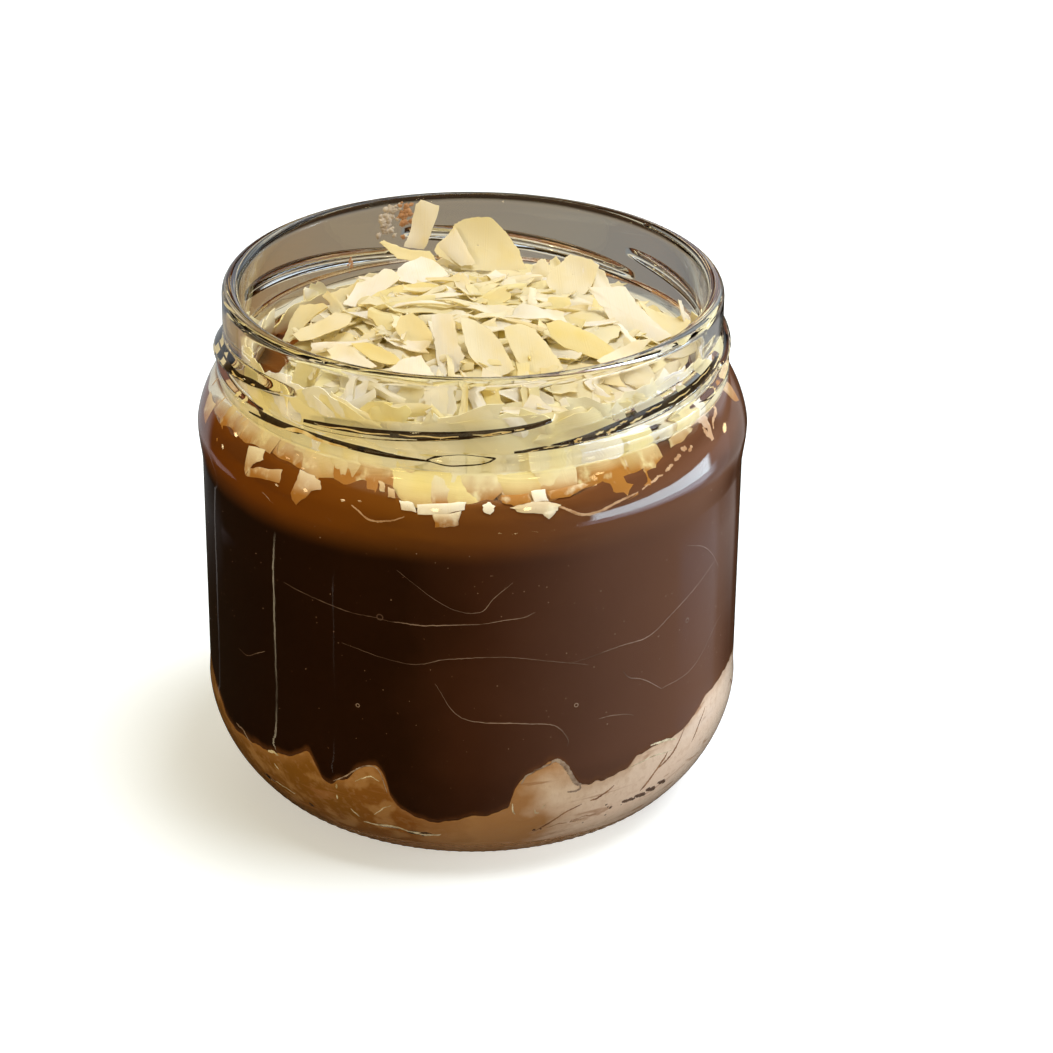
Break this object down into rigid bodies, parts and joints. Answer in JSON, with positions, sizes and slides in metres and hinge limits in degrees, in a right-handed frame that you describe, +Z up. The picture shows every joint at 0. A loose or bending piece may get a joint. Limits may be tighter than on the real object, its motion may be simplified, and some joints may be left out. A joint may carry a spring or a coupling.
{
  "type": "jar of chocolate dessert with white chocolate shavings",
  "caption": "Open glass screw-top jar of chocolate sauce over a layer of cream, topped with a heap of white chocolate shavings. It stands on its flat foot.",
  "frame": {"origin": "middle of the jar's foot, on the surface that it stands on", "axes": "+Z up along the jar's axis, -Y towards the side that the picture shows, +X to the right of that side"},
  "size_m": [0.0872, 0.0872, 0.0888],
  "materials": {
    "clear_glass": "smooth and clear, slightly grey",
    "cream": "soft pale cream stained with sauce",
    "chocolate_sauce": "smooth dark brown sauce",
    "white_chocolate": "satin ivory shavings"
  },
  "bodies": {
    "root": {"glass_jar": "clear_glass", "cream": "cream", "chocolate_sauce": "chocolate_sauce", "white_chocolate_shavings": "white_chocolate"}
  },
  "joints": []
}
